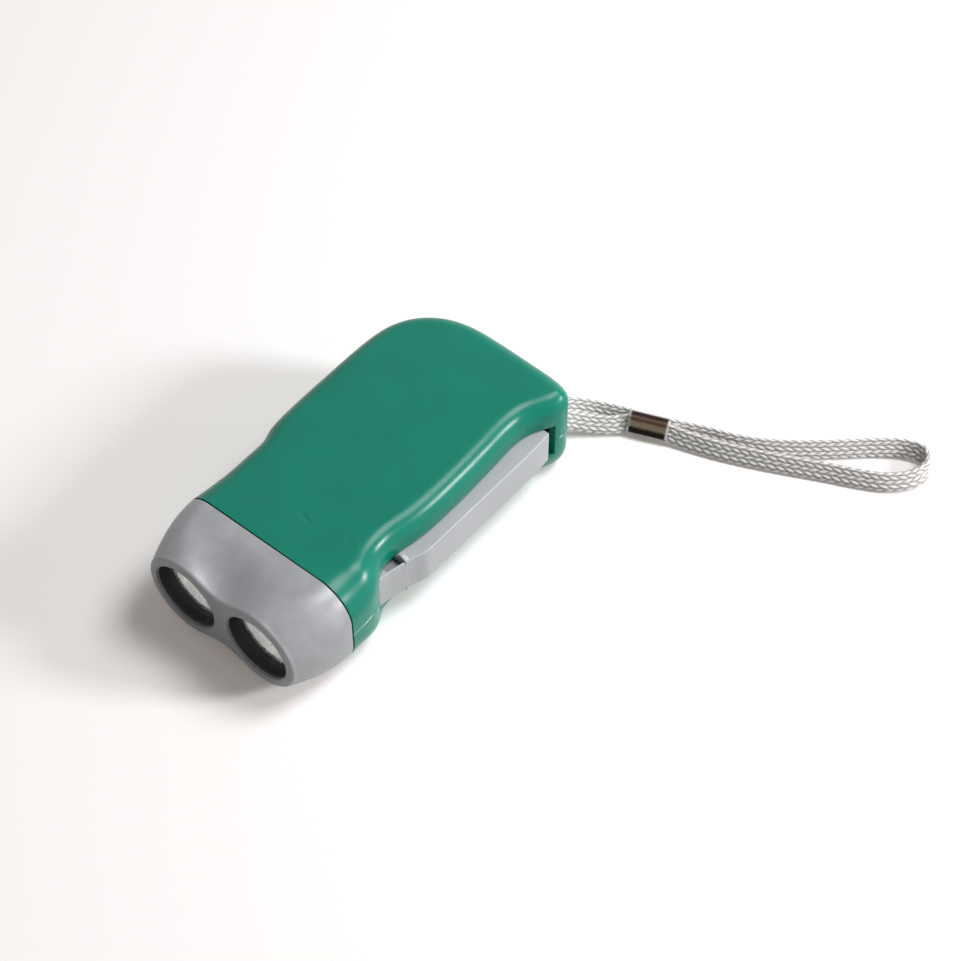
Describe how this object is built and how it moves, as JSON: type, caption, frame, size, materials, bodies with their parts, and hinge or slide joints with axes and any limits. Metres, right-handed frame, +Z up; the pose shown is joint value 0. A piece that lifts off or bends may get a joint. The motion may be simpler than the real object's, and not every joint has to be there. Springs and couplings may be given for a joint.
{
  "type": "squeeze dynamo torch",
  "caption": "Hand powered torch with twin recessed lamps, a hinged squeeze lever along one side that drives a geared dynamo, and a braided wrist strap.",
  "frame": {"origin": "on the surface it lies on, under the middle of the body", "axes": "+X towards the squeeze lever's side, +Y from the lamps towards the tail, +Z up; the beams leave along -Y"},
  "size_m": [0.1221, 0.1529, 0.0264],
  "materials": {
    "shell_green": "satin",
    "head_grey": "satin metallic paint",
    "lever_grey": "satin",
    "black_plastic": "satin",
    "clear_lens": "polished",
    "bright_plating": "polished",
    "steel": "plain",
    "gear_nylon": "moulded",
    "magnet": "sintered",
    "brass": "turned",
    "copper": "enamelled wire",
    "circuit_board": "lacquered",
    "braid": "woven"
  },
  "bodies": {
    "torch": {"upper_shell": "shell_green", "lower_shell": "shell_green", "head_housing": "head_grey", "lamp_tube_left": "black_plastic", "lens_left": "clear_lens", "reflector_left": "bright_plating", "led_left": "clear_lens", "lamp_tube_right": "black_plastic", "lens_right": "clear_lens", "reflector_right": "bright_plating", "led_right": "clear_lens", "led_board": "circuit_board", "pivot_pin": "steel", "lever_spring": "steel", "first_axle": "steel", "second_axle": "steel", "generator_plate": "gear_nylon", "rotor_axle": "steel", "stator_claws_lower": "steel", "stator_claws_upper": "steel", "coil_bobbin": "gear_nylon", "coil_winding": "copper", "charging_board": "circuit_board", "battery_cell": "steel", "battery_clip": "brass", "capacitor": "black_plastic", "switch_body": "black_plastic", "screw_front_left": "steel", "screw_front_right": "steel", "screw_rear_left": "steel", "screw_rear_right": "steel", "strap_pin": "steel", "wrist_strap": "braid", "strap_ferrule": "bright_plating"},
    "lever": {"squeeze_lever": "lever_grey"},
    "first_wheel": {"first_gear": "gear_nylon"},
    "second_wheel": {"second_gear": "gear_nylon"},
    "rotor": {"rotor_pinion": "gear_nylon", "rotor_magnet": "magnet", "flywheel": "brass"},
    "switch": {"switch_knob": "lever_grey"},
    "lock": {"lever_lock": "black_plastic"}
  },
  "joints": [
    {"name": "lever_hinge", "type": "hinge", "parent": "torch", "child": "lever", "pos_m": [0.0144, -0.0196, 0.0132], "axis": [0, 0, -1], "range_deg": [0, 22]},
    {"name": "first_gear_spin", "type": "hinge", "parent": "torch", "child": "first_wheel", "pos_m": [-0.00628, -0.00224, 0.0102], "axis": [0, 0, 1], "range_deg": [0, 96.8]},
    {"name": "second_gear_spin", "type": "hinge", "parent": "torch", "child": "second_wheel", "pos_m": [-0.00323, 0.01509, 0.012], "axis": [0, 0, 1], "range_deg": [-329.12, 0]},
    {"name": "rotor_spin", "type": "hinge", "parent": "torch", "child": "rotor", "pos_m": [-0.00373, 0.02948, 0.018], "axis": [0, 0, 1], "range_deg": [0, 855.7]},
    {"name": "switch_slide", "type": "slide", "parent": "torch", "child": "switch", "axis": [0, -1, 0], "range_m": [0, 0.003]},
    {"name": "lock_slide", "type": "slide", "parent": "torch", "child": "lock", "axis": [0, -1, 0], "range_m": [0, 0.0026]}
  ],
  "couplings": [
    {"joint": "lever_hinge", "follows": "rotor_spin", "ratio": 0.02571},
    {"joint": "first_gear_spin", "follows": "rotor_spin", "ratio": 0.11312},
    {"joint": "second_gear_spin", "follows": "rotor_spin", "ratio": -0.38462}
  ]
}
